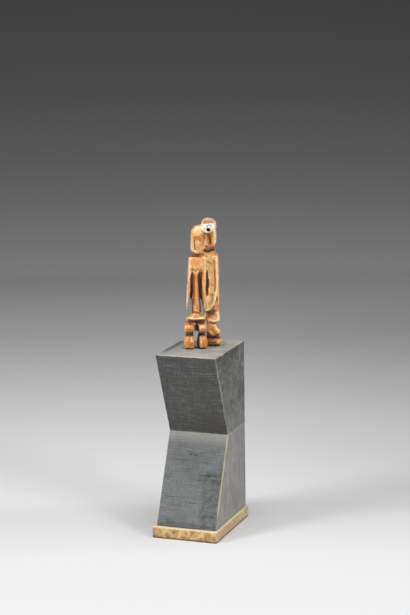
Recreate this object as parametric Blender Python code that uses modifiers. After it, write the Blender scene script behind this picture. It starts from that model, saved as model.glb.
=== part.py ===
"""A small carved couple standing on its two-block stand, with a thin gilded plinth under it."""

from math import copysign, cos, pi, radians, sin

import bmesh
import bpy
from mathutils import Matrix, Vector

# Driving sizes, in metres. The stand's front faces -Y and the underside of the plinth is at Z = 0.
BLOCK_WIDTH = 0.0414
TOP_DEPTH = 0.0572
WAIST_DEPTH = 0.0337
FOOT_DEPTH = 0.0604
UPPER_BLOCK_HEIGHT = 0.0562
LOWER_BLOCK_HEIGHT = 0.0575
BLOCK_EDGE = 0.0004
PLINTH_HEIGHT = 0.0077
OVERHANG_LEFT = 0.0025
OVERHANG_RIGHT = 0.0014
OVERHANG_FRONT = 0.0027
OVERHANG_BACK = 0.0017
PLINTH_CORNER = 0.0014
PLINTH_EDGE = 0.0004
GLUE_GAP = 0.0003

# The carving. Its pose and its cuts are shares of the figure's height.
FIGURE_HEIGHT = 0.0850
FIGURE_ASIDE = -0.0002
FIGURE_BEHIND = 0.0048
FIGURE_TURN = 20.2
HOLE_DIAMETER = 0.0024
CARVING_VOXEL = 0.00045
CARVING_FACES_KEPT = 0.084

# Carving lengths below are written in parts, 85 of them to the figure's height.
PARTS_TO_HEIGHT = 85.0
COUPLE_MIDDLE = (4.0, 9.5)
RING_SIDES = 24

PLINTH_WIDTH = OVERHANG_LEFT + BLOCK_WIDTH + OVERHANG_RIGHT
PLINTH_DEPTH = OVERHANG_FRONT + FOOT_DEPTH + OVERHANG_BACK
BLOCK_LEFT = -PLINTH_WIDTH / 2 + OVERHANG_LEFT
BLOCK_BACK = PLINTH_DEPTH / 2 - OVERHANG_BACK
LOWER_BLOCK_FOOT = PLINTH_HEIGHT + GLUE_GAP
WAIST_HEIGHT = LOWER_BLOCK_FOOT + LOWER_BLOCK_HEIGHT
UPPER_BLOCK_FOOT = WAIST_HEIGHT + GLUE_GAP
STAND_HEIGHT = UPPER_BLOCK_FOOT + UPPER_BLOCK_HEIGHT
FIGURE_FOOT = STAND_HEIGHT + GLUE_GAP

# The two people. Place is across and behind, from the point between the front person's toes, seen
# along the figure's own view, and turn is how far each looks round to the right of that view.
FRONT_PERSON = dict(
    place=(-0.55, 4.3), turn=9.6, pinch=9.5, knee=13.9, rim=19.7, waist=27.0, slots=51.5,
    shoulder=61.2, rim_lean=0.75, low_lean=1.1, top_lean=2.55, ridge=0.45, stance=4.35, leg_width=3.3,
    rim_width=5.8, rim_depth=4.25, arm_tips=(25.8, 23.0), arm_thickness=(0.95, 1.65), arm_inset=(-0.45, 0.7),
    head=dict(side=1.65, back=0.6, chin=62.7, crown=82.6, half_width=4.15, half_depth=4.6, tilt=1.1,
              slope=1.5),
)
SIDE_PERSON = dict(
    place=(11.75, 15.4), turn=90.0, pinch=6.0, knee=9.8, rim=17.6, waist=25.0, slots=50.0,
    shoulder=60.8, rim_lean=-0.2, low_lean=-0.3, top_lean=-1.2, ridge=-0.8, stance=3.8, leg_width=3.0,
    rim_width=5.4, rim_depth=4.15, arm_tips=(23.0, 25.8), arm_thickness=(1.1, 1.0), arm_inset=(0.0, 0.0),
    head=dict(side=-2.9, back=2.55, chin=67.0, crown=87.0, half_width=4.5, half_depth=4.8, tilt=0.0,
              slope=0.0),
)

# Where the cuts on the joined heads and arms are centred: across, behind and up.
HANGING_HOLE = (8.9, 6.0, 78.3)
CROWN_CUT = (9.1, 9.3, 84.3)
SUNK_TEMPLE = (8.7, 7.3, 71.8)
SLOT_BETWEEN_ARMS = (7.3, 9.0, 42.4)


def clear_scene():
    for old in list(bpy.data.objects):
        bpy.data.objects.remove(old, do_unlink=True)


def new_collection(name):
    made = bpy.data.collections.new(name)
    bpy.context.scene.collection.children.link(made)
    return made


def new_material(name, colour, roughness, metallic=0.0):
    made = bpy.data.materials.new(name)
    made.use_nodes = True
    shader = made.node_tree.nodes["Principled BSDF"]
    shader.inputs["Base Color"].default_value = (*colour, 1.0)
    shader.inputs["Roughness"].default_value = roughness
    shader.inputs["Metallic"].default_value = metallic
    return made


def new_object(name, shape, collection, material=None):
    mesh = bpy.data.meshes.new(name)
    shape.to_mesh(mesh)
    shape.free()
    made = bpy.data.objects.new(name, mesh)
    collection.objects.link(made)
    if material:
        mesh.materials.append(material)
    return made


def rounded(obj, width, segments):
    bevel = obj.modifiers.new("rounded edges", "BEVEL")
    bevel.width = width
    bevel.segments = segments
    bevel.limit_method = "ANGLE"


def wedge_block(name, foot, height, foot_depth, top_depth, collection, material):
    """A block with an upright back, upright sides and a slanting front."""
    shape = bmesh.new()
    bmesh.ops.create_cube(shape, size=1.0)
    for corner in shape.verts:
        depth = top_depth if corner.co.z > 0 else foot_depth
        corner.co.x = BLOCK_LEFT + BLOCK_WIDTH * (corner.co.x + 0.5)
        corner.co.y = BLOCK_BACK - (0.0 if corner.co.y > 0 else depth)
        corner.co.z = foot + height * (corner.co.z + 0.5)
    block = new_object(name, shape, collection, material)
    rounded(block, BLOCK_EDGE, 2)
    return block


def plinth_slab(collection, material):
    shape = bmesh.new()
    bmesh.ops.create_cube(shape, size=1.0)
    bmesh.ops.scale(shape, vec=(PLINTH_WIDTH, PLINTH_DEPTH, PLINTH_HEIGHT), verts=shape.verts)
    bmesh.ops.translate(shape, vec=(0, 0, PLINTH_HEIGHT / 2), verts=shape.verts)
    upright = [e for e in shape.edges if abs(e.verts[0].co.z - e.verts[1].co.z) > PLINTH_HEIGHT / 2]
    bmesh.ops.bevel(
        shape, geom=upright, offset=PLINTH_CORNER, segments=4, profile=0.5, affect="EDGES", material=-1
    )
    slab = new_object("gilded_plinth", shape, collection, material)
    rounded(slab, PLINTH_EDGE, 2)
    return slab


def loft(shape, frame, stations):
    """A closed body through rings. A station is height, side, back, half width, half depth, squareness."""
    rings = []
    for height, side, back, half_width, half_depth, squareness in stations:
        ring = []
        for step in range(RING_SIDES):
            angle = 2 * pi * (step + 0.5) / RING_SIDES
            across = copysign(abs(cos(angle)) ** (2 / squareness), cos(angle))
            along = copysign(abs(sin(angle)) ** (2 / squareness), sin(angle))
            point = Vector((side + half_width * across, back + half_depth * along, height))
            ring.append(shape.verts.new(frame @ point))
        rings.append(ring)
    for low, high in zip(rings, rings[1:]):
        for step in range(RING_SIDES):
            after = (step + 1) % RING_SIDES
            shape.faces.new((low[step], low[after], high[after], high[step]))
    shape.faces.new(tuple(reversed(rings[0])))
    shape.faces.new(tuple(rings[-1]))


def ball(shape, frame, centre, radii):
    """An ellipsoid, for a bulge or as a cutter."""
    size = Matrix.Diagonal((*radii, 1.0))
    matrix = frame @ Matrix.Translation(Vector(centre)) @ size
    bmesh.ops.create_uvsphere(shape, u_segments=24, v_segments=16, radius=1.0, matrix=matrix)


def lean_at(person, height):
    """How far the body's middle has moved sideways at a height."""
    start, end = person["waist"] + 6.0, person["shoulder"]
    share = min(1.0, max(0.0, (height - start) / (end - start)))
    return person["low_lean"] + (person["top_lean"] - person["low_lean"]) * share ** 1.3


def legs(shape, frame, person):
    """Two legs, each a bulging foot and calf, a pinch, and a knee that juts forward."""
    pinch, knee, rim, width = person["pinch"], person["knee"], person["rim"], person["leg_width"]
    for side in (-1, 1):
        middle = side * person["stance"]
        thigh = middle + person["rim_lean"]
        loft(shape, frame, (
            (0.0, middle, -0.1, 0.84 * width, 3.7, 2.6),
            (0.10 * pinch, middle, -0.2, 0.96 * width, 4.1, 2.6),
            (0.40 * pinch, middle, -0.3, 1.04 * width, 4.4, 2.4),
            (0.66 * pinch, middle, -0.2, 0.94 * width, 4.1, 2.3),
            (0.84 * pinch, middle, 0.1, 0.74 * width, 3.6, 2.3),
            (1.06 * pinch, middle, 0.2, 0.68 * width, 3.4, 2.3),
            (0.62 * pinch + 0.38 * knee, middle, 0.0, 0.76 * width, 3.6, 2.3),
            (0.25 * pinch + 0.75 * knee, middle, -0.3, 0.92 * width, 4.0, 2.3),
            (knee, middle, -0.4, 0.96 * width, 4.1, 2.3),
            (0.70 * knee + 0.30 * rim, 0.3 * thigh + 0.7 * middle, 0.2, 0.88 * width, 3.5, 2.3),
            (0.35 * knee + 0.65 * rim, 0.6 * thigh + 0.4 * middle, 1.3, 0.74 * width, 2.4, 2.3),
            (rim + 1.0, 0.85 * thigh, 1.3, 0.70 * width, 2.4, 2.3),
        ))
    loft(shape, frame, (
        (0.3 * pinch + 0.7 * knee, 0.2, 1.8, 2.6, 1.5, 2.6),
        (0.5 * knee + 0.5 * rim, 0.4, 1.5, 2.6, 2.1, 2.4),
        (rim + 1.0, person["rim_lean"], 1.4, 2.8, 2.4, 2.2),
    ))


def hips(shape, frame, person):
    """The flared hip rim and the ridged column that rises from it to the chest."""
    rim, waist, slots, lean = person["rim"], person["waist"], person["slots"], person["low_lean"]
    base, wide, deep = person["rim_lean"], person["rim_width"], person["rim_depth"]
    ridge = person["ridge"]
    loft(shape, frame, (
        (rim - 1.9, base, 0.5, 0.75 * wide, 0.72 * deep, 2.6),
        (rim - 1.0, base, 0.0, 0.97 * wide, 0.96 * deep, 2.6),
        (rim + 0.3, base, 0.0, wide, deep, 2.6),
        (rim + 1.4, base, 0.1, 0.93 * wide, 0.96 * deep, 2.4),
        (rim + 2.6, base, 0.1, 0.75 * wide, 0.93 * deep, 2.2),
        (0.45 * rim + 0.55 * waist, 0.5 * base + 0.5 * lean, 0.2, 0.56 * wide, 0.92 * deep, 2.0),
        (waist, 0.6 * lean + 0.4 * ridge, 0.2, 3.2, 3.9, 1.6),
        (0.7 * waist + 0.3 * slots, ridge, 0.1, 2.9, 4.0, 1.45),
        (0.4 * waist + 0.6 * slots, ridge, 0.0, 2.8, 4.0, 1.35),
        (slots - 5.0, ridge, 0.0, 2.3, 4.0, 1.35),
        (slots - 1.0, ridge, 0.0, 2.3, 4.1, 1.6),
        (slots + 3.0, 0.5 * ridge + 0.5 * lean, 0.0, 3.8, 4.0, 2.0),
    ))


def chest(shape, frame, person):
    """The smooth chest above the slots, and the back that closes the upper slots behind."""
    slots, shoulder, waist = person["slots"], person["shoulder"], person["waist"]
    low, mid, high = (lean_at(person, h) for h in (waist + 8.0, slots, shoulder))
    loft(shape, frame, (
        (slots - 0.5, mid, 0.8, 4.0, 2.8, 3.0),
        (slots + 1.6, mid, 0.1, 4.9, 3.8, 3.0),
        (slots + 4.5, 0.6 * mid + 0.4 * high, 0.0, 5.0, 3.9, 3.0),
        (shoulder - 1.5, high, 0.3, 4.9, 3.8, 3.0),
        (shoulder - 0.2, high, 0.5, 4.6, 3.5, 2.8),
        (shoulder + 0.6, high, 0.7, 3.9, 2.9, 2.4),
    ))
    loft(shape, frame, (
        (waist + 5.8, low, 2.8, 2.6, 0.9, 2.4),
        (waist + 8.0, low, 2.7, 4.6, 1.2, 2.8),
        (slots - 6.0, mid, 2.5, 4.8, 1.4, 2.8),
        (slots + 2.0, mid, 2.2, 4.7, 1.7, 2.8),
    ))


def arms(shape, frame, person):
    """Two leaf-shaped plates. Each front edge sweeps back to a tip at the rear."""
    slots, shoulder = person["slots"], person["shoulder"] - 0.6
    sizes = zip((-1, 1), person["arm_tips"], person["arm_thickness"], person["arm_inset"])
    for side, tip, thick, inset in sizes:
        stations = []
        straight = tip + 0.45 * (shoulder - tip)
        for step in range(17):
            height = tip + (shoulder - tip) * step / 16
            curl = max(0.0, (straight - height) / (straight - tip))
            front_edge = -3.15 + 7.6 * curl ** 2.1
            back_edge = 3.4 + 1.9 * curl
            above = min(1.0, max(0.0, height - slots) / 4.0)
            stations.append((
                height, side * (4.85 - inset * (1.0 - curl) + curl - 0.45 * above) + lean_at(person, height),
                (front_edge + back_edge) / 2, (thick + 0.4 * above) * (1.0 - 0.5 * curl ** 1.5),
                (back_edge - front_edge) / 2, 2.8,
            ))
        loft(shape, frame, stations)


def head(shape, frame, person):
    """A long boxy head on a short neck."""
    form = person["head"]
    side, back, chin, crown = form["side"], form["back"], form["chin"], form["crown"]
    width, depth, slope, tilt = form["half_width"], form["half_depth"], form["slope"], form["tilt"]
    tall = crown - chin
    neck = person["shoulder"] - 1.0
    lean = person["top_lean"]
    loft(shape, frame, (
        (neck, lean, 0.8, 0.80 * width, 2.9, 2.4),
        (0.5 * neck + 0.5 * chin, 0.5 * (lean + side), 0.5 * back + 0.2, 0.76 * width, 0.62 * depth, 2.4),
        (chin + 2.5, side, back, 0.80 * width, 0.72 * depth, 2.4),
    ))
    rows = (
        (0.00, 0.5, 0.4, 0.60, 0.66, 2.6),
        (0.05, 0.2, 0.1, 0.82, 0.88, 2.8),
        (0.15, 0.0, 0.0, 0.97, 0.97, 3.0),
        (0.33, 0.0, 0.0, 1.00, 1.00, 3.4),
        (0.65, 0.0, 0.0, 1.00, 1.00, 3.4),
        (0.84, 0.1 * slope, 0.0, 0.97, 0.98, 3.2),
        (1.0 - 0.45 * slope / tall, 0.4 * slope, 0.0, 0.94 - 0.16 * slope, 0.93, 3.0),
        (1.00, slope, 0.0, 0.90 - 0.30 * slope, 0.9 - 0.15 * slope, 2.8),
    )
    loft(shape, frame, [
        (chin + share * tall, side + across + tilt * share, back + behind, wide * width, deep * depth, square)
        for share, across, behind, wide, deep, square in rows
    ])


def shared_forms(shape, frame):
    """What joins the two people: shoulder, arm tips, the pale cap of the heads and the inner corner."""
    loft(shape, frame, (
        (48.5, 7.6, 10.9, 1.8, 1.2, 2.6),
        (51.0, 7.5, 10.6, 3.0, 2.0, 3.6),
        (56.0, 7.3, 10.4, 3.5, 2.1, 4.0),
        (60.2, 7.1, 10.3, 3.4, 2.1, 4.0),
        (61.6, 6.9, 10.6, 2.9, 2.1, 3.0),
        (69.0, 6.6, 11.0, 2.2, 2.4, 2.2),
    ))
    loft(shape, frame, (
        (18.7, 5.9, 8.9, 0.7, 1.0, 2.2),
        (22.0, 6.1, 9.1, 0.7, 1.1, 2.2),
        (25.0, 6.7, 9.3, 1.3, 1.3, 2.2),
        (29.0, 7.0, 9.4, 1.8, 1.5, 2.2),
        (33.5, 7.2, 9.6, 1.7, 1.5, 2.2),
    ))
    loft(shape, frame, (
        (75.0, 9.2, 9.8, 3.4, 3.0, 2.4),
        (77.0, 9.1, 8.8, 4.5, 4.0, 2.6),
        (80.0, 9.0, 9.0, 4.7, 4.4, 2.6),
        (84.0, 9.1, 9.2, 4.7, 4.4, 2.4),
        (87.0, 9.1, 9.4, 4.5, 4.4, 2.4),
    ))
    loft(shape, frame, (
        (30.5, 7.3, 10.2, 1.3, 1.2, 2.4),
        (34.0, 6.8, 10.9, 2.4, 2.2, 2.4),
        (39.0, 6.3, 11.2, 3.0, 3.2, 2.4),
        (48.0, 5.8, 11.4, 3.6, 3.6, 2.4),
        (60.0, 5.3, 11.2, 4.0, 4.0, 2.4),
        (70.0, 5.0, 10.8, 3.8, 4.0, 2.4),
        (80.0, 5.4, 10.4, 3.2, 3.9, 2.4),
    ))


def front_cutters(shape, frame, person):
    """The sunk cheeks beside the nose of one head, and the two pointed slots beside the column."""
    form = person["head"]
    tall = form["crown"] - form["chin"]
    side, front = form["side"] + 0.4 * form["tilt"], form["back"] - form["half_depth"]
    for across in (-1, 1):
        centre = (side + across * 1.9, front - 0.4, form["chin"] + 0.40 * tall)
        ball(shape, frame, centre, (1.5, 1.4, 0.27 * tall))
    for across, wide in ((-2.8, 1.05), (2.75, 1.2)):
        centre = (person["ridge"] + across, -3.5, person["slots"] - 8.8)
        ball(shape, frame, centre, (wide, 5.3, 9.6))


def side_cuts(frame):
    """Cuts seen from the front: the sunk side of the rear head, under its jaw, and between the arms."""
    shape = bmesh.new()
    ball(shape, frame, SUNK_TEMPLE, (2.0, 2.2, 4.9))
    loft(shape, frame, (
        (63.2, 10.6, 6.6, 3.6, 3.6, 4.0),
        (64.0, 10.8, 6.6, 4.2, 4.1, 4.0),
        (66.6, 10.8, 6.6, 4.2, 4.1, 4.0),
        (67.4, 10.6, 6.6, 3.6, 3.6, 4.0),
    ))
    ball(shape, frame, SLOT_BETWEEN_ARMS, (0.95, 4.6, 10.0))
    return shape


def person_frame(person):
    across, behind = person["place"]
    return Matrix.Translation((across, behind, 0.0)) @ Matrix.Rotation(radians(person["turn"]), 4, "Z")


def figure_frame():
    """From parts, along the figure's own view, to metres on the stand."""
    scale = FIGURE_HEIGHT / PARTS_TO_HEIGHT
    across = BLOCK_LEFT + BLOCK_WIDTH / 2 + FIGURE_ASIDE
    along = BLOCK_BACK - TOP_DEPTH / 2 + FIGURE_BEHIND
    turn = Matrix.Rotation(radians(FIGURE_TURN), 4, "Z")
    middle = Matrix.Translation((-COUPLE_MIDDLE[0], -COUPLE_MIDDLE[1], 0.0))
    return Matrix.Translation((across, along, FIGURE_FOOT)) @ turn @ Matrix.Scale(scale, 4) @ middle


def hanging_hole(frame):
    """A cutter through the side person's head, drilled a little askew."""
    shape = bmesh.new()
    aim = Matrix.Rotation(radians(-24.0), 4, "Z") @ Matrix.Rotation(radians(97.0), 4, "X")
    matrix = frame @ Matrix.Translation(HANGING_HOLE) @ aim
    radius = HOLE_DIAMETER / 2 / frame.to_scale()[0]
    bmesh.ops.create_cone(
        shape, cap_ends=True, segments=24, radius1=radius, radius2=radius, depth=40.0, matrix=matrix
    )
    return shape


def crown_cutters(shape, frame):
    """The flat, slightly dished cut across the top, lower towards the viewer."""
    tilt = Matrix.Rotation(radians(6.0), 4, "X")
    centre = frame @ Matrix.Translation(CROWN_CUT) @ tilt
    box = centre @ Matrix.Translation((0, 0, 5.0)) @ Matrix.Diagonal((20.0, 20.0, 10.0, 1.0))
    bmesh.ops.create_cube(shape, size=1.0, matrix=box)


def cut_with(obj, cutter, name):
    cutter.hide_render = True
    cutter.display_type = "WIRE"
    cut = obj.modifiers.new(name, "BOOLEAN")
    cut.operation = "DIFFERENCE"
    cut.solver = "EXACT"
    cut.object = cutter


def one_skin(obj, name):
    """Gives overlapping forms, or a cut body, one even closed surface."""
    skin = obj.modifiers.new(name, "REMESH")
    skin.mode = "VOXEL"
    skin.voxel_size = CARVING_VOXEL


def carved_couple(collection, cutters, material):
    """Both people as one closed body: overlapping forms fused, cut, smoothed and thinned."""
    frame = figure_frame()
    shape = bmesh.new()
    for person in (FRONT_PERSON, SIDE_PERSON):
        own = frame @ person_frame(person)
        for carve in (legs, hips, chest, arms, head):
            carve(shape, own, person)
    shared_forms(shape, frame)
    couple = new_object("carved_couple", shape, collection, material)

    one_skin(couple, "fuse")
    for number, person in enumerate((FRONT_PERSON, SIDE_PERSON)):
        shape = bmesh.new()
        front_cutters(shape, frame @ person_frame(person), person)
        cutter = new_object(f"front_cutter_{number}", shape, cutters)
        cut_with(couple, cutter, f"front {number}")
    cut_with(couple, new_object("side_cuts", side_cuts(frame), cutters), "side cuts")
    cut_with(couple, new_object("hole_cutter", hanging_hole(frame), cutters), "hanging hole")
    shape = bmesh.new()
    crown_cutters(shape, frame)
    cut_with(couple, new_object("crown_cutter", shape, cutters), "crown")

    one_skin(couple, "close the cuts")
    soften = couple.modifiers.new("soften", "SMOOTH")
    soften.factor = 0.5
    soften.iterations = 3
    thin = couple.modifiers.new("thin", "DECIMATE")
    thin.ratio = CARVING_FACES_KEPT
    return couple


def main():
    clear_scene()
    parts = new_collection("carved_couple_on_stand")
    cutters = new_collection("cutters")
    ivory = new_material("honey_ivory", (0.72, 0.38, 0.15), 0.38)
    dark_wood = new_material("dark_painted_wood", (0.075, 0.073, 0.068), 0.72)
    grey_wood = new_material("grey_painted_wood", (0.16, 0.165, 0.165), 0.74)
    gilding = new_material("worn_gilding", (0.48, 0.33, 0.15), 0.42, 0.7)
    plinth_slab(parts, gilding)
    wedge_block(
        "stand_lower_block", LOWER_BLOCK_FOOT, LOWER_BLOCK_HEIGHT, FOOT_DEPTH, WAIST_DEPTH, parts, grey_wood
    )
    wedge_block(
        "stand_upper_block", UPPER_BLOCK_FOOT, UPPER_BLOCK_HEIGHT, WAIST_DEPTH, TOP_DEPTH, parts, dark_wood
    )
    carved_couple(parts, cutters, ivory)


main()
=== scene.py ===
from math import cos, radians, sin

import bmesh
import bpy
import numpy as np
from mathutils import Matrix, Vector, noise
from mathutils.bvhtree import BVHTree


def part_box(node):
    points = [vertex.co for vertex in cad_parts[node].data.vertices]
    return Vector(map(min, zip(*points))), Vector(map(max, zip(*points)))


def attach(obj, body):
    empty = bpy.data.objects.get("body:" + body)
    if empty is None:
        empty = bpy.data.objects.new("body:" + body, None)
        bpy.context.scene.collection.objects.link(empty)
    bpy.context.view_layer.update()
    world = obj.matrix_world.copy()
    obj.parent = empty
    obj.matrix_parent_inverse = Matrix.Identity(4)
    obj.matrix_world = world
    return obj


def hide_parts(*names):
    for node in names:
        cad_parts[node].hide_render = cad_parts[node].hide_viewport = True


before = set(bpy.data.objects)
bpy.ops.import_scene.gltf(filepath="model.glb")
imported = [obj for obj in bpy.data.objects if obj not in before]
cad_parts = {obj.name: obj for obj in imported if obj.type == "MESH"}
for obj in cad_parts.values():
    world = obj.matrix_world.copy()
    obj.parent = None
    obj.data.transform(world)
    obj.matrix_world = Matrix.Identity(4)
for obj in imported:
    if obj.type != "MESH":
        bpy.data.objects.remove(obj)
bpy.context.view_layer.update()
print("model loaded")


# colours are written as the eye reads them, 0 to 255
def asLight(channel):
    share = channel / 255
    return share / 12.92 if share <= 0.04045 else ((share + 0.055) / 1.055) ** 2.4


def colour(red, green, blue):
    return (asLight(red), asLight(green), asLight(blue), 1.0)


# wraps a socket, so that shader maths is written as plain expressions
class Wire:
    def __init__(self, finish, socket):
        self.finish = finish
        self.socket = socket

    def maths(self, operation, first, second):
        return self.finish.node("ShaderNodeMath", {"operation": operation}, {0: first, 1: second})

    def __add__(self, other):
        return self.maths("ADD", self, other)

    def __radd__(self, other):
        return self.maths("ADD", other, self)

    def __sub__(self, other):
        return self.maths("SUBTRACT", self, other)

    def __rsub__(self, other):
        return self.maths("SUBTRACT", other, self)

    def __mul__(self, other):
        return self.maths("MULTIPLY", self, other)

    def __rmul__(self, other):
        return self.maths("MULTIPLY", other, self)

    def __truediv__(self, other):
        return self.maths("DIVIDE", self, other)

    def __abs__(self):
        return self.finish.node("ShaderNodeMath", {"operation": "ABSOLUTE"}, {0: self})

    def above(self, low, high):
        # 0 below low, 1 above high, soft in between
        settings = {"interpolation_type": "SMOOTHSTEP"}
        return self.finish.node("ShaderNodeMapRange", settings, {0: self, 1: low, 2: high})

    def below(self, low, high):
        return 1 - self.above(low, high)

    def within(self, low, fullLow, fullHigh, high):
        # 1 from fullLow to fullHigh, fading to 0 at low and high
        return self.above(low, fullLow) * self.below(fullHigh, high)


class Finish:
    def __init__(self, name, **fixed):
        self.material = bpy.data.materials.new(name)
        self.material.use_nodes = True
        self.tree = self.material.node_tree
        self.shader = self.tree.nodes["Principled BSDF"]
        for socket, value in fixed.items():
            self.shader.inputs[socket].default_value = value
        self.place = self.node("ShaderNodeTexCoord", {}, {}, "Object")

    def node(self, kind, settings, inputs, output=0):
        made = self.tree.nodes.new(kind)
        for key, value in settings.items():
            setattr(made, key, value)
        for key, value in inputs.items():
            if isinstance(value, Wire):
                self.tree.links.new(value.socket, made.inputs[key])
            else:
                made.inputs[key].default_value = value
        return Wire(self, made.outputs[output])

    def stretched(self, scale):
        inputs = {"Vector": self.place, "Scale": scale}
        return self.node("ShaderNodeMapping", {"vector_type": "POINT"}, inputs)

    def noise(self, scale, detail=3.0, rough=0.55, warp=0.0, place=None):
        inputs = {
            "Vector": place or self.place, "Scale": scale, "Detail": detail,
            "Roughness": rough, "Distortion": warp,
        }
        return self.node("ShaderNodeTexNoise", {"noise_dimensions": "3D"}, inputs)

    def cells(self, scale):
        inputs = {"Vector": self.place, "Scale": scale}
        return self.node("ShaderNodeTexVoronoi", {"feature": "F1"}, inputs)

    def mark(self, name):
        return self.node("ShaderNodeAttribute", {"attribute_name": name}, {}, "Fac")

    def along(self, axis):
        return self.node("ShaderNodeSeparateXYZ", {}, {0: self.place}, axis)

    def facing(self, axis):
        normal = self.node("ShaderNodeNewGeometry", {}, {}, "Normal")
        return self.node("ShaderNodeSeparateXYZ", {}, {0: normal}, axis)

    def blend(self, amount, below, above):
        settings = {"data_type": "RGBA", "blend_type": "MIX", "clamp_factor": True}
        return self.node("ShaderNodeMix", settings, {0: amount, 6: below, 7: above}, 2)

    def lay(self, base, layers):
        # colours laid on in turn, each as strong as its mask
        for amount, tone in layers:
            base = self.blend(amount, base, colour(*tone))
        return base

    def feed(self, socket, wire):
        self.tree.links.new(wire.socket, self.shader.inputs[socket])

    def bump(self, height, distance, strength):
        inputs = {"Height": height, "Distance": distance, "Strength": strength}
        self.feed("Normal", self.node("ShaderNodeBump", {}, inputs))


# the carving, with its lengths in parts

carving = {
    # one part in metres, where the figure stands in metres, and its turn in degrees
    "part": 0.001,
    "foot": (0.00035, 0.0069, 0.1223),
    "turn": 20.2,
    # what across and behind are at that foot
    "middle": (4.0, 9.5),
    # how much higher a point one part further behind looks
    "tilt": 0.2025,
    # the fine skin: size of its voxels in metres and rounds of softening
    "voxel": 0.00034,
    "softening": 3,
    # in metres: how far rounded feet swell back, how far off shade is looked for, and from where
    "swell": 0.00018,
    "reach": 0.009,
    "lift": 0.0001,
    # dark rings, partly patina and partly painted shade: how soft, how deep and how strong
    "ring": (0.5, 0.25, 0.6),
    # the lower edge of the pale cap
    "capAcross": (4.4, 4.9, 5.6, 7.0, 8.5, 10.5, 11.5, 12.4, 13.4),
    "capHeight": (79.6, 78.6, 77.9, 77.3, 77.0, 77.9, 78.5, 79.3, 80.4),
}


def smooth(values, low, high):
    share = np.clip((values - low) / (high - low), 0.0, 1.0)
    return share * share * (3.0 - 2.0 * share)


def band(values, low, high, soft):
    return smooth(values, low - soft, low + soft) * (1.0 - smooth(values, high - soft, high + soft))


def copyOfNode(name, newName):
    shape = bmesh.new()
    shape.from_mesh(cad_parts[name].data)
    bmesh.ops.remove_doubles(shape, verts=shape.verts, dist=1e-6)
    mesh = bpy.data.meshes.new(newName)
    shape.to_mesh(mesh)
    shape.free()
    piece = bpy.data.objects.new(newName, mesh)
    bpy.context.scene.collection.objects.link(piece)
    return piece


def applyModifiers(piece):
    graph = bpy.context.evaluated_depsgraph_get()
    mesh = bpy.data.meshes.new_from_object(piece.evaluated_get(graph))
    old = piece.data
    piece.modifiers.clear()
    piece.data = mesh
    bpy.data.meshes.remove(old)


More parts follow.
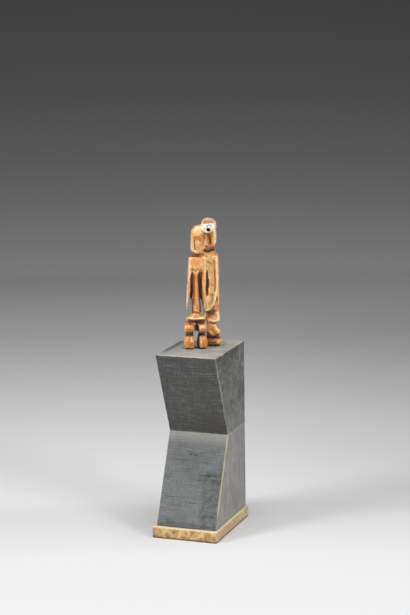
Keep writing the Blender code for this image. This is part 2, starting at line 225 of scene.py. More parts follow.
class Surface:
    # a mesh's points as arrays, so that a tool mark is one expression
    def __init__(self, piece):
        self.mesh = piece.data
        self.count = len(self.mesh.vertices)
        self.points = np.empty(self.count * 3)
        self.mesh.vertices.foreach_get("co", self.points)
        self.points = self.points.reshape(-1, 3)
        ends = np.empty(len(self.mesh.edges) * 2, int)
        self.mesh.edges.foreach_get("vertices", ends)
        self.ends = ends.reshape(-1, 2)
        self.links = np.bincount(self.ends.ravel(), minlength=self.count)
        self.read()

    def read(self):
        normals = np.empty(self.count * 3)
        self.mesh.vertices.foreach_get("normal", normals)
        self.normals = normals.reshape(-1, 3)
        self.across, self.behind, self.up = inParts(self.points)
        turn = radians(carving["turn"])
        toViewer = self.normals[:, 0] * sin(turn) - self.normals[:, 1] * cos(turn)
        self.height = self.up + (self.behind - 1.0) * carving["tilt"]
        # the far side below the heads takes the same marks, a little weaker
        self.away = smooth(-toViewer, 0.2, 0.6) * (1.0 - smooth(self.height, 62.0, 64.0))
        self.seen = np.maximum(smooth(toViewer, -0.08, 0.34), 0.7 * self.away)

    def write(self):
        self.mesh.vertices.foreach_set("co", self.points.ravel())
        self.mesh.update()
        self.read()

    def press(self, depth):
        # depth in metres, inwards
        self.points -= self.normals * np.asarray(depth)[:, None]
        self.write()

    def shift(self, share, across=0.0, up=0.0):
        # moves points sideways or upwards by parts
        turn = radians(carving["turn"])
        way = np.array([across * cos(turn), across * sin(turn), up]) * carving["part"]
        self.points += share[:, None] * way
        self.write()

    def spread(self, values, rounds):
        # averages each value with its neighbours'
        first, second = self.ends.T
        for _ in range(rounds):
            columns = values.reshape(self.count, -1)
            total = np.stack([
                np.bincount(first, column[second], self.count)
                + np.bincount(second, column[first], self.count)
                for column in columns.T
            ], axis=1)
            values = (0.5 * columns + 0.5 * total / self.links[:, None]).reshape(values.shape)
        return values

    def relax(self, share, rounds):
        # rounds a place off, and swells it back to its size
        softer = self.spread(self.points, rounds)
        self.points += share[:, None] * (softer - self.points)
        self.write()
        self.press(share * -carving["swell"])

    def roundness(self, rounds):
        # over 0 on edges and ridges, under 0 in hollows
        drift = self.points - self.spread(self.points, rounds)
        return np.einsum("ij,ij->i", drift, self.normals)

    def shelter(self, reach, rays):
        # share of the sky that is hidden within reach
        tree = BVHTree.FromPolygons(
            [Vector(p) for p in self.points], [tuple(f.vertices) for f in self.mesh.polygons]
        )
        hidden = np.zeros(self.count)
        goldenAngle = 2.399963
        steps = np.arange(rays)
        rise = np.sqrt(1.0 - (steps + 0.5) / rays)
        reachOut = np.sqrt(1.0 - rise ** 2)
        leaning = np.abs(self.normals[:, 2:]) < 0.9
        side = np.cross(self.normals, np.where(leaning, (0.0, 0.0, 1.0), (1.0, 0.0, 0.0)))
        side /= np.linalg.norm(side, axis=1)[:, None]
        other = np.cross(self.normals, side)
        starts = self.points + self.normals * carving["lift"]
        for step in steps:
            angle = goldenAngle * step
            ways = self.normals * rise[step] + (side * cos(angle) + other * sin(angle)) * reachOut[step]
            for index in range(self.count):
                hit = tree.ray_cast(starts[index], ways[index], reach)
                if hit[0] is not None:
                    hidden[index] += 1.0 - hit[3] / reach
        return hidden / rays

    def stroke(self, path, width):
        # 1 along a path of (across, height) points, fading to the sides
        far = np.full(self.count, 1e9)
        for (u0, z0), (u1, z1) in zip(path, path[1:]):
            du, dz = u1 - u0, z1 - z0
            share = ((self.across - u0) * du + (self.height - z0) * dz) / (du * du + dz * dz)
            share = np.clip(share, 0.0, 1.0)
            far = np.minimum(far, np.hypot(self.across - u0 - share * du, self.height - z0 - share * dz))
        return np.exp(-((far / width) ** 3)) * self.seen

    def around(self, centre, radii):
        u, z = (self.across - centre[0]) / radii[0], (self.height - centre[1]) / radii[1]
        return np.exp(-(u * u + z * z))

    def grit(self, size, seed):
        # uneven values from 0 to 1, in lumps of about this size
        place = np.stack((self.across, self.behind, self.up), axis=1) / size + seed
        return np.array([noise.noise(Vector(p)) for p in place]) * 0.5 + 0.5

    def store(self, name, values):
        mark = self.mesh.attributes.new(name, "FLOAT", "POINT")
        mark.data.foreach_set("value", np.clip(values, 0.0, 1.0).astype(np.float32))


def inParts(points):
    # across, behind and up, along the figure's own view
    turn = radians(carving["turn"])
    moved = (points - np.array(carving["foot"])) / carving["part"]
    across = moved[:, 0] * cos(turn) + moved[:, 1] * sin(turn) + carving["middle"][0]
    behind = -moved[:, 0] * sin(turn) + moved[:, 1] * cos(turn) + carving["middle"][1]
    return across, behind, moved[:, 2]


# colours laid on from the first to the last: stains of the patina, with painted highlights (mostly cream)
# and painted shade and shadow (mostly plum, night and umber)
tones = {
    "moss": (158, 142, 80),
    "rose": (212, 140, 112),
    "amber": (206, 122, 42),
    "cream": (255, 230, 186),
    "chalk": (178, 168, 158),
    "umber": (122, 62, 26),
    "plum": (92, 44, 40),
    "night": (38, 25, 23),
}
# each stroke: colour, how strong, how wide, how deep it is cut, then its path across and up
frontStrokes = [
    ("umber", 0.85, 0.5, 0.45, (-0.3, 72.0), (-0.45, 70.0), (-0.1, 66.4)),
    ("amber", 0.6, 0.6, 0.3, (-0.2, 74.2), (-0.3, 72.0)),
    # amber under the brow: painted shade of the brow
    ("amber", 0.95, 1.4, 0.25, (0.4, 73.4), (1.6, 73.5), (3.2, 72.8)),
    ("amber", 0.25, 1.6, 0.0, (0.2, 75.8), (3.2, 75.4)),
    ("cream", 0.6, 1.3, -0.1, (1.6, 80.0), (3.4, 78.6)),
    # cream down the head's left edge to the chin: painted highlight
    ("cream", 0.45, 0.5, -0.1, (-1.4, 80.0), (-2.2, 75.0), (-2.5, 68.5)),
    ("cream", 0.7, 0.55, -0.1, (-2.5, 68.5), (-1.7, 65.6), (0.4, 64.8), (2.2, 65.0)),
    ("cream", 0.4, 1.3, 0.0, (-0.2, 79.0), (1.6, 76.6)),
    ("moss", 0.5, 0.5, 0.0, (-1.6, 71.6), (-1.5, 70.9)),
    ("amber", 0.3, 1.5, 0.0, (1.3, 71.5), (1.9, 67.2)),
    # cream on the nose: painted highlight
    ("cream", 0.2, 0.7, -0.2, (2.0, 71.2), (2.2, 68.6)),
    ("amber", 0.6, 0.5, 0.25, (4.5, 76.0), (4.9, 73.2)),
    ("moss", 0.5, 0.7, 0.0, (4.3, 72.0), (4.8, 69.0)),
    ("umber", 0.55, 0.4, 0.45, (5.4, 78.0), (5.6, 74.0), (5.5, 68.5)),
    ("umber", 0.95, 0.6, 0.5, (-1.7, 64.0), (-0.2, 62.9), (1.8, 62.3), (3.4, 63.0)),
    ("umber", 0.85, 0.8, 0.3, (-1.6, 62.0), (0.6, 61.9), (3.6, 61.2)),
    ("plum", 0.4, 0.6, 0.0, (0.0, 62.4), (0.9, 62.2)),
    ("amber", 0.6, 0.6, 0.0, (-1.6, 60.4), (-0.6, 60.1)),
    ("rose", 0.95, 0.8, 0.0, (4.8, 65.6), (5.2, 62.2)),
    # cream down the left shoulder's edge: painted highlight
    ("cream", 0.8, 0.55, -0.15, (-3.6, 60.4), (-3.9, 56.0), (-4.2, 52.0)),
    ("rose", 0.35, 1.6, 0.0, (-2.2, 58.6), (2.6, 58.4)),
    ("amber", 0.42, 2.1, 0.05, (-0.6, 57.2), (2.6, 57.2)),
    ("cream", 0.4, 0.8, 0.0, (3.8, 57.0), (4.6, 54.0)),
    ("moss", 0.7, 0.8, 0.2, (-2.2, 53.0), (0.2, 52.3), (1.2, 52.9)),
    ("amber", 0.8, 0.6, 0.3, (-2.0, 52.8), (0.2, 51.6), (1.0, 52.2)),
    ("cream", 0.5, 0.3, -0.15, (-3.5, 48.0), (-3.0, 50.4), (-2.0, 51.9), (-0.9, 51.2), (-0.5, 49.0)),
    ("cream", 0.5, 0.3, -0.15, (1.0, 49.5), (2.0, 52.0), (3.2, 51.0), (4.4, 47.5), (4.8, 40.0)),
    # umber down the column's left flank: painted shade
    ("umber", 0.8, 0.75, 0.0, (-0.8, 49.6), (-0.9, 45.0), (-1.1, 38.0), (-1.4, 30.0)),
    ("amber", 0.6, 0.5, 0.0, (-0.5, 48.0), (-0.5, 38.0), (-0.7, 31.0)),
    ("amber", 0.5, 0.8, -0.3, (0.4, 50.0), (0.5, 43.0), (0.4, 36.0), (0.5, 30.0)),
    ("rose", 0.5, 0.4, 0.0, (0.5, 49.0), (0.6, 45.0)),
    ("amber", 0.3, 0.8, 0.0, (0.6, 47.0), (0.6, 36.0)),
    # umber, plum and night down the column's right flank and in the slots: painted shade
    ("umber", 0.85, 0.8, 0.0, (1.8, 49.6), (1.9, 45.0), (2.1, 38.0), (2.5, 31.0), (2.7, 25.0)),
    ("night", 0.7, 0.5, 0.0, (-2.9, 42.0), (-2.9, 34.0)),
    ("plum", 0.85, 0.6, 0.0, (2.6, 40.0), (3.0, 32.0), (3.2, 26.0)),
    ("night", 0.6, 0.35, 0.0, (3.9, 48.0), (4.1, 40.0), (4.5, 33.0)),
    ("umber", 0.7, 0.4, 0.3, (-4.5, 41.0), (-4.2, 40.2)),
    ("amber", 0.7, 0.5, 0.1, (-4.3, 46.0), (-4.2, 42.0)),
    # cream down the left arm's outer edge: painted highlight
    ("cream", 0.55, 0.5, 0.0, (-4.2, 52.0), (-4.8, 46.0), (-5.3, 43.0)),
    ("cream", 0.8, 0.5, -0.15, (-5.3, 43.0), (-5.5, 37.0), (-5.9, 31.0)),
    ("amber", 0.3, 1.2, 0.0, (5.2, 50.0), (5.6, 40.0), (6.2, 32.0)),
    ("umber", 0.5, 0.35, 0.0, (-4.3, 38.5), (-4.7, 30.0)),
    ("plum", 0.6, 0.5, 0.2, (-5.6, 27.6), (-5.0, 26.2)),
    # umber and night low in the slots: painted shade
    ("umber", 0.95, 0.75, 0.1, (-2.2, 33.0), (-2.4, 27.5), (-2.3, 24.4)),
    ("night", 0.6, 0.5, 0.0, (2.8, 33.0), (3.1, 25.0)),
    ("night", 0.5, 0.35, 0.1, (-2.5, 32.0), (-2.6, 26.0)),
    ("amber", 0.8, 0.7, 0.0, (0.6, 29.0), (0.8, 26.4)),
    ("umber", 0.95, 0.75, 0.35, (-1.4, 24.6), (0.6, 24.2), (2.2, 23.9)),
    ("plum", 0.5, 0.5, 0.0, (-1.2, 24.6), (-0.2, 24.4)),
    ("rose", 0.35, 0.8, 0.0, (-4.2, 22.2), (-1.2, 22.3)),
    ("amber", 0.65, 0.7, 0.0, (-3.6, 22.4), (-1.8, 22.4)),
    ("amber", 0.4, 0.8, 0.0, (0.4, 22.2), (2.0, 22.0)),
    ("plum", 0.55, 0.8, 0.0, (2.6, 22.8), (4.6, 22.2)),
    ("moss", 0.5, 0.5, 0.0, (5.3, 24.0), (5.9, 21.2)),
    ("cream", 0.75, 0.45, -0.25, (-4.6, 20.6), (0.0, 20.1), (5.8, 20.5)),
    # night, plum, umber and moss under the hip rim and over the thighs: painted shadow of the rim
    ("night", 0.75, 0.4, 0.35, (-5.4, 19.7), (0.0, 19.2), (6.2, 19.4)),
    ("plum", 0.9, 0.9, 0.5, (-4.8, 18.3), (0.0, 18.0), (5.6, 18.2)),
    ("night", 0.5, 0.6, 0.0, (3.4, 18.9), (5.6, 18.9)),
    ("moss", 0.5, 0.6, 0.2, (-3.0, 17.2), (-1.8, 16.8)),
    ("umber", 0.6, 0.6, 0.2, (-5.6, 16.8), (-3.6, 16.8)),
    ("umber", 0.6, 0.6, 0.2, (2.4, 16.9), (5.2, 16.8)),
    ("plum", 0.45, 0.7, 0.0, (-6.4, 16.2), (-3.6, 16.0)),
    ("plum", 0.4, 0.7, 0.0, (3.6, 16.0), (6.2, 16.4)),
    # night between the thighs: painted shade
    ("night", 1.0, 0.7, 0.7, (0.3, 17.4), (0.3, 15.4)),
    ("night", 1.0, 1.35, 0.6, (0.3, 14.6), (0.5, 12.6)),
    # the knees: rose and amber, with cream painted highlights
    ("rose", 0.7, 2.1, 0.0, (-5.0, 13.8), (-4.0, 13.6)),
    ("amber", 0.95, 1.5, -0.35, (-4.9, 13.6), (-3.9, 13.4)),
    ("cream", 0.5, 0.5, 0.0, (-6.9, 14.2), (-6.2, 15.4)),
    ("cream", 0.5, 0.45, 0.0, (-1.9, 14.8), (-1.7, 13.2)),
    ("rose", 0.8, 1.9, -0.35, (4.4, 13.9), (5.2, 13.6)),
    ("cream", 0.4, 1.0, 0.0, (4.2, 14.6), (5.0, 14.4)),
    ("amber", 0.8, 1.0, 0.0, (4.5, 13.2), (5.1, 12.8)),
    ("cream", 0.6, 0.4, 0.0, (2.7, 15.2), (2.6, 12.6)),
    # umber, night and plum in the pinch below the knees: dark patina and painted shade
    ("umber", 0.95, 0.6, 0.2, (-6.6, 11.3), (-4.3, 10.9), (-2.0, 11.4)),
    ("umber", 0.95, 0.6, 0.2, (3.2, 11.3), (4.8, 11.0), (6.4, 11.3)),
    ("night", 1.0, 1.0, 0.7, (-7.2, 9.9), (-4.3, 9.5), (-1.4, 9.8)),
    ("night", 1.0, 1.0, 0.7, (2.0, 9.7), (4.6, 9.5), (7.0, 9.9)),
    ("plum", 0.5, 0.5, 0.0, (-6.4, 8.4), (-2.6, 8.4)),
    ("plum", 0.5, 0.5, 0.0, (3.6, 8.4), (6.4, 8.4)),
    ("rose", 0.7, 0.7, 0.0, (-5.6, 7.3), (-3.4, 7.2)),
    ("rose", 0.8, 1.2, 0.0, (4.4, 7.0), (5.8, 5.6)),
    # the feet: amber, with cream painted highlights
    ("amber", 0.9, 2.0, -0.15, (-5.2, 4.6), (-3.8, 3.2)),
    ("umber", 0.35, 0.6, 0.15, (-3.5, 3.2), (-3.2, 2.4)),
    ("cream", 0.7, 0.5, -0.1, (-3.0, 5.8), (-2.6, 4.8)),
    ("cream", 0.5, 0.45, 0.0, (-7.4, 5.0), (-7.5, 3.0)),
    ("amber", 0.95, 1.5, -0.15, (4.9, 4.8), (5.0, 2.4)),
    ("cream", 0.5, 0.4, 0.0, (3.3, 5.5), (3.2, 3.0)),
    # night under the soles and down the gap between the legs: painted shadow
    ("night", 0.9, 0.45, 0.2, (-7.0, 0.3), (-2.0, 0.2)),
    ("night", 0.9, 0.45, 0.2, (2.6, 0.3), (7.0, 0.3)),
    ("night", 1.0, 1.0, 0.0, (1.2, 12.0), (1.4, 5.0), (1.6, 0.4)),
    ("night", 0.8, 0.5, 0.0, (-1.6, 12.2), (-1.5, 9.0)),
]
sideStrokes = [
    ("rose", 0.45, 0.9, 0.2, (6.0, 85.2), (7.2, 84.3), (9.6, 85.2)),
    ("umber", 0.6, 0.8, 0.0, (5.2, 85.2), (8.2, 86.0), (11.8, 85.4)),
    ("umber", 0.5, 0.6, 0.0, (4.6, 84.6), (5.4, 83.4)),
    ("umber", 0.5, 0.5, 0.2, (6.8, 83.6), (7.4, 83.4)),
    ("chalk", 0.95, 0.32, -0.1, (4.9, 85.8), (6.0, 86.9), (8.8, 87.5), (11.6, 86.9), (13.2, 85.2)),
    ("moss", 0.4, 0.5, 0.15, (5.6, 80.7), (6.0, 79.8)),
    ("plum", 0.55, 0.4, 0.35, (8.1, 80.8), (8.4, 81.8), (9.3, 82.3), (10.3, 81.9), (10.7, 80.9)),
    ("plum", 0.3, 0.35, 0.2, (11.3, 79.4), (11.8, 79.2)),
    # night in the hole of the head: painted shade inside it
    ("night", 1.0, 1.1, 0.0, (9.1, 79.2), (9.4, 79.1)),
    ("umber", 1.0, 0.5, 0.45, (5.6, 77.8), (6.3, 76.2), (6.5, 73.4)),
    ("umber", 0.7, 0.35, 0.3, (6.4, 76.6), (8.0, 76.4)),
    ("cream", 0.6, 0.5, -0.35, (7.1, 75.6), (7.2, 74.0)),
    ("amber", 0.9, 1.5, 0.2, (8.8, 76.0), (9.4, 73.6), (9.8, 70.6)),
    ("umber", 0.65, 0.9, 0.35, (8.6, 76.0), (9.2, 74.0), (9.6, 71.8), (9.8, 70.2)),
    ("umber", 0.9, 0.6, 0.3, (9.6, 71.0), (9.8, 69.8)),
    ("rose", 0.5, 0.6, 0.0, (8.1, 73.2), (8.3, 71.6)),
    ("moss", 0.7, 0.8, 0.1, (10.9, 77.4), (11.2, 74.4)),
    # cream down the head's right edge: painted highlight
    ("cream", 0.95, 0.8, -0.2, (12.9, 79.0), (13.2, 74.0), (13.4, 69.4)),
    ("cream", 0.5, 0.7, -0.1, (6.9, 72.4), (7.1, 70.6)),
    ("umber", 0.7, 0.6, 0.3, (7.2, 68.6), (7.6, 68.2)),
    ("amber", 0.8, 0.8, 0.0, (8.6, 68.2), (10.4, 67.8)),
    ("umber", 0.4, 0.8, 0.1, (11.2, 68.6), (12.6, 68.0)),
    # plum and night round the neck under the head: painted shade
    ("plum", 1.0, 1.2, 0.4, (6.4, 65.4), (8.6, 65.1), (10.4, 66.0), (12.4, 66.6)),
    ("plum", 0.35, 0.9, 0.0, (12.6, 64.6), (13.8, 62.8)),
    ("night", 0.5, 0.6, 0.0, (6.8, 65.4), (8.8, 65.2)),
    ("moss", 0.6, 0.5, 0.0, (7.0, 63.6), (8.8, 63.2)),
    ("umber", 0.9, 0.45, 0.3, (7.2, 62.0), (7.6, 61.5)),
    ("rose", 0.5, 0.8, 0.0, (10.6, 64.0), (12.6, 63.6)),
    ("moss", 0.7, 0.6, 0.15, (7.2, 56.4), (7.4, 54.6)),
    ("umber", 0.7, 0.45, 0.25, (8.0, 58.6), (8.5, 57.2)),
    ("umber", 0.8, 0.42, 0.25, (9.8, 57.8), (10.4, 56.4)),
    ("moss", 0.5, 0.6, 0.0, (9.0, 59.0), (9.6, 54.8)),
    ("moss", 0.45, 0.7, 0.1, (8.2, 53.4), (8.8, 52.4)),
    ("moss", 0.5, 0.45, 0.1, (10.4, 51.6), (10.7, 50.8)),
    ("umber", 0.8, 0.45, 0.3, (10.4, 43.4), (11.4, 42.0)),
    ("umber", 0.6, 0.45, 0.3, (10.3, 36.4), (11.3, 35.4)),
    ("amber", 0.4, 0.7, 0.1, (10.6, 47.0), (10.9, 44.5)),
    ("moss", 0.8, 1.3, 0.1, (10.2, 36.0), (11.2, 32.4), (9.8, 30.6)),
    ("amber", 0.5, 0.7, 0.0, (8.4, 30.0), (8.9, 28.4)),
    ("amber", 0.95, 0.8, 0.25, (12.0, 58.6), (12.4, 52.0), (12.7, 46.0), (12.7, 41.0), (12.5, 38.6)),
    ("umber", 0.55, 0.4, 0.2, (12.6, 52.0), (12.9, 46.0), (12.9, 41.0), (12.6, 38.6)),
    # cream along the plate's right rim: painted highlight
    ("cream", 1.0, 0.65, -0.35, (13.8, 60.0), (13.9, 50.0), (13.9, 42.0), (13.4, 37.6), (12.4, 33.2)),
    ("cream", 1.0, 0.6, -0.35, (12.4, 33.2), (11.4, 29.4), (10.0, 27.0), (8.6, 26.2), (7.0, 25.8)),
    ("cream", 0.45, 0.35, -0.1, (8.6, 47.5), (9.2, 43.0), (8.8, 38.0)),
    ("umber", 0.9, 0.5, 0.0, (14.0, 34.6), (13.8, 32.0)),
    ("rose", 0.8, 0.8, 0.0, (13.8, 30.0), (14.1, 26.0)),
    ("cream", 0.4, 0.4, 0.0, (15.0, 36.0), (15.1, 30.0)),
    # plum and night under the plate: painted shadow of the plate
    ("plum", 0.9, 1.0, 0.2, (7.4, 23.8), (10.8, 23.8), (12.4, 25.4)),
    ("night", 0.85, 0.6, 0.2, (6.6, 24.6), (8.2, 24.4), (10.6, 25.6), (12.1, 28.4)),
    ("plum", 0.5, 0.9, 0.0, (8.0, 22.0), (12.2, 22.6)),
    ("amber", 0.75, 0.8, -0.1, (9.2, 21.2), (10.0, 21.2)),
    ("rose", 0.7, 0.8, 0.0, (11.6, 21.4), (13.6, 21.4)),
    # cream on the hip flare's right end: painted highlight
    ("cream", 1.0, 0.7, -0.2, (14.4, 24.0), (15.0, 21.4), (14.8, 19.2)),
    ("cream", 1.0, 0.42, -0.25, (8.4, 19.2), (10.6, 18.8), (13.0, 18.4), (14.6, 19.2)),
    ("amber", 0.7, 0.7, 0.0, (7.1, 19.6), (7.4, 17.4)),
    ("cream", 0.6, 0.4, 0.0, (6.9, 17.0), (7.0, 15.2)),
    # umber and night under the hip flare: painted shade
    ("umber", 0.9, 0.5, 0.4, (9.0, 17.8), (9.8, 17.2), (10.6, 16.6)),
    ("night", 0.7, 0.45, 0.4, (10.6, 16.6), (12.0, 16.6), (13.6, 17.4)),
    ("amber", 0.5, 0.5, 0.0, (8.6, 16.0), (8.8, 15.0)),
    ("moss", 0.25, 1.5, 0.0, (9.4, 14.0), (10.2, 12.0)),
    ("amber", 0.35, 1.4, 0.0, (9.4, 13.8), (10.6, 11.4)),
    ("cream", 0.5, 0.6, -0.2, (9.0, 11.4), (10.0, 11.0)),
    # cream along the front of the thigh: painted highlight
    ("cream", 0.9, 0.55, -0.2, (11.8, 15.6), (13.2, 13.6), (14.8, 11.4)),
    ("umber", 0.95, 0.55, 0.25, (7.0, 10.6), (8.2, 9.4), (9.4, 9.0)),
    ("amber", 0.9, 0.8, 0.0, (11.8, 11.0), (12.8, 10.2)),
    ("umber", 0.8, 0.6, 0.1, (12.6, 9.4), (14.6, 9.2)),
    # plum and night in the pinch below the knee: dark patina and painted shade
    ("plum", 1.0, 1.2, 0.5, (6.2, 7.6), (10.0, 7.2), (13.6, 7.4), (15.4, 7.8)),
    ("night", 0.75, 0.7, 0.2, (7.2, 8.0), (9.0, 7.4), (13.0, 7.6)),
    ("umber", 0.8, 0.9, 0.1, (7.4, 10.2), (8.4, 9.2)),
    ("plum", 0.5, 0.7, 0.0, (13.4, 9.2), (15.0, 8.8)),
    ("plum", 0.75, 0.7, 0.0, (7.6, 5.7), (10.8, 5.5)),
    ("umber", 0.85, 1.1, 0.0, (8.0, 3.4), (12.6, 3.3)),
    ("umber", 0.8, 0.4, 0.2, (12.0, 5.6), (13.0, 5.2)),
    ("rose", 0.8, 0.45, 0.0, (13.4, 5.6), (14.8, 5.2)),
    ("cream", 0.7, 0.4, -0.1, (14.6, 4.4), (15.0, 3.6)),
    ("night", 0.9, 0.45, 0.35, (8.0, 4.4), (10.4, 4.0), (12.4, 4.3)),
    ("rose", 0.4, 0.28, -0.2, (8.6, 3.2), (12.0, 3.1), (13.6, 3.5)),
    # night under the soles: painted shadow
    ("night", 1.0, 0.6, 0.5, (7.6, 1.8), (11.0, 1.9), (14.6, 2.2)),
    ("umber", 0.95, 0.5, 0.3, (8.3, 46.8), (8.8, 44.2), (8.5, 41.4)),
    ("rose", 0.85, 0.6, 0.0, (7.3, 49.4), (7.6, 46.0), (8.0, 43.0), (7.8, 39.0), (7.6, 36.0)),
    ("moss", 0.7, 0.5, 0.0, (6.6, 31.0), (6.9, 26.6)),
]
# from how near to how far behind each person's strokes lie
depths = {"front": (-6.0, 6.6), "side": (3.2, 24.0)}
# rings darkened all round, partly dark patina and partly painted shade under rims, in pinches and at necks:
# tone, low and high
rings = {
    "front": [("night", 8.6, 10.2), ("plum", 16.8, 18.8), ("umber", 61.4, 62.8)],
    "side": [("plum", 4.6, 6.8), ("umber", 14.6, 15.8), ("plum", 63.4, 65.6)],
}
# worn places: centre across and up, radii, how far behind they reach, then the push across and up
wornPlaces = [
    ((-2.4, 9.6), (1.5, 2.8), 9.0, 0.7, 0.0),
    ((0.0, 13.6), (1.9, 1.5), 9.0, 0.0, -1.5),
    ((-2.9, 35.2), (1.3, 1.7), 99.0, 0.0, -1.8),
    ((3.8, 34.3), (1.0, 1.6), 10.0, 0.0, -1.6),
    ((-4.6, 23.6), (1.6, 1.5), 9.0, 0.0, -0.9),
    ((4.9, 23.6), (1.3, 1.5), 7.0, 0.0, -0.9),
]


def makeCouple():
    piece = copyOfNode("carved_couple", "ivory_couple")
    remesh = piece.modifiers.new("fine surface", "REMESH")
    remesh.mode = "VOXEL"
    remesh.voxel_size = carving["voxel"]
    soften = piece.modifiers.new("soften", "SMOOTH")
    soften.factor = 0.5
    soften.iterations = carving["softening"]
    applyModifiers(piece)
    piece.data.shade_smooth()
    surface = Surface(piece)
    print("carving:", surface.count, "points,", len(piece.data.polygons), "faces")
    settleForm(surface)
    # the strokes' colours: patina stains, painted highlights and painted shade
    stainsAndPaintedLight = carveStrokes(surface)
    for name in tones:
        surface.store(name, stainsAndPaintedLight[name])
    storeWearAndShade(surface)
    return piece


def settleForm(surface):
    # worn and chipped places that the plain solid leaves square
    across, behind, up = surface.across, surface.behind, surface.up
    frontHead = smooth(up, 76.5, 81.5) * (1.0 - smooth(across, 4.4, 5.6))
    surface.shift(frontHead * (1.0 + 0.35 * (1.0 - smooth(across, -1.8, 0.4))), up=-1.3)
    nearRim = smooth(up, 81.5, 84.0) * (1.0 - smooth(behind, 5.5, 11.5)) * smooth(across, 4.6, 5.2)
    chip = 0.5 + 0.5 * np.exp(-((across - 7.4) / 2.2) ** 2)
    surface.shift(nearRim * chip, up=-1.6)
    crown = smooth(up, 81.0, 84.0) * smooth(across, 4.4, 4.9)
    fromTop = np.clip(np.abs(across - 8.7) / 4.7, 0.0, 1.0)
    surface.shift(crown * (0.2 + 1.7 * fromTop ** 2.5), up=-1.0)
    armTip = (1.0 - smooth(up, 26.5, 32.0)) * smooth(up, 24.8, 26.2) * (across < -3.2)
    surface.shift(armTip, up=-1.5)
    for centre, radii, farthest, aside, rise in wornPlaces:
        surface.shift(surface.around(centre, radii) * (behind < farthest), across=aside, up=rise)
    surface.shift(surface.around((15.2, 15.2), (2.0, 2.0)) * smooth(behind, 2.0, 4.0), across=-1.4)
    sideLegs = smooth(across, 7.2, 7.5) * (1.0 - smooth(across, 8.3, 11.5)) * smooth(behind, 5.0, 7.0)
    surface.shift(sideLegs * (1.0 - smooth(up, 21.0, 26.0)), across=-1.5)
    surface.relax(1.0 - smooth(surface.up, 14.0, 18.0), 14)


def carveStrokes(surface):
    across, behind, up = surface.across, surface.behind, surface.up
    cut = np.zeros(surface.count)
    # the share each colour leaves unlaid; its strokes are stains, painted highlights and painted shade
    unpainted = {name: np.ones(surface.count) for name in tones}
    side = smooth(across, 5.6, 7.0) * smooth(behind, 3.0, 5.0)
    sets = (
        (frontStrokes, depths["front"], 1.0 - side * surface.away),
        (sideStrokes, depths["side"], 1.0),
    )
    for strokes, reach, own in sets:
        window = np.maximum(band(behind, *reach, 0.5), surface.away) * own
        for tone, strength, width, depth, *path in strokes:
            share = surface.stroke(path, width) * window
            cut += share * depth
            unpainted[tone] *= 1.0 - share * strength
    soft, depth, strength = carving["ring"]
    for person, own in (("front", 1.0 - side), ("side", side)):
        for tone, low, high in rings[person]:
            share = band(up, low, high, soft) * own
            cut += share * depth
            unpainted[tone] *= 1.0 - share * strength
    # the sawn crown is dished, with a rim
    level = smooth(surface.normals[:, 2], 0.5, 0.8) * smooth(up, 80.5, 82.0) * smooth(across, 4.6, 5.4)
    fromMiddle = np.hypot((across - 9.0) / 4.5, (behind - 9.9) / 5.2)
    cut += level * (1.0 - smooth(fromMiddle, 0.45, 1.0))
    # uneven knife facets everywhere, lumps on the side person's thigh, ragged arm tips
    facets = surface.grit(3.2, 5.0)
    lumps = surface.grit(1.3, 11.0)
    thigh = band(up, 8.0, 14.5, 1.0) * smooth(across, 8.0, 9.0) * surface.seen
    tips = (1.0 - smooth(up, 27.0, 33.0)) * smooth(up, 22.0, 23.5) * (across < -3.0)
    cut += (facets - 0.5) * 0.35 + (lumps - 0.5) * (0.2 + 0.9 * thigh + 0.6 * tips)
    surface.press(surface.spread(cut, 1) * carving["part"])
    # the dish is coloured darker out to its rim
    fromMiddle = np.hypot((surface.across - 9.0) / 4.9, (surface.behind - 10.6) / 5.6)
    surface.store("dish", level * (1.0 - smooth(fromMiddle, 0.9, 1.02)))
    return {name: 1.0 - left for name, left in unpainted.items()}


def storeWearAndShade(surface):
    across, behind, up, height = surface.across, surface.behind, surface.up, surface.height
    rays = 16
    hidden = surface.spread(surface.shelter(carving["reach"], rays), 3)
    edge = surface.spread(surface.roundness(8), 1)
    broad = surface.roundness(60)
    slots = band(up, 27.0, 52.0, 0.8) * band(across, -3.6, 8.9, 0.3) * smooth(hidden, 0.3, 0.6)
    surface.store("slots", slots * (1.0 - smooth(behind, 10.0, 13.0)))
    # the share of sky hidden, used for painted shade
    surface.store("hidden", smooth(hidden, 0.15, 0.75))
    # ridges and edges, made lighter: rubbed patina and painted highlight
    ridge = smooth(edge, 0.00002, 0.00012) * 0.6 + smooth(broad, 0.0001, 0.0006) * 0.5
    surface.store("ridge", ridge * (0.35 + 0.65 * smooth(up, 14.0, 18.0)))
    surface.store("hollow", smooth(-edge, 0.00003, 0.00016))
    capEdge = np.interp(across, carving["capAcross"], carving["capHeight"])
    cap = smooth(height - capEdge, -0.25, 0.35) * smooth(across, 4.2, 4.9)
    surface.store("cap", cap * (1.0 - smooth(behind, 12.0, 15.0)))
    plate = band(height, 25.5, 62.0, 0.8) * smooth(across, 5.0, 6.2)
    surface.store("plate", plate * (1.0 - smooth(behind, 10.0, 12.0)))


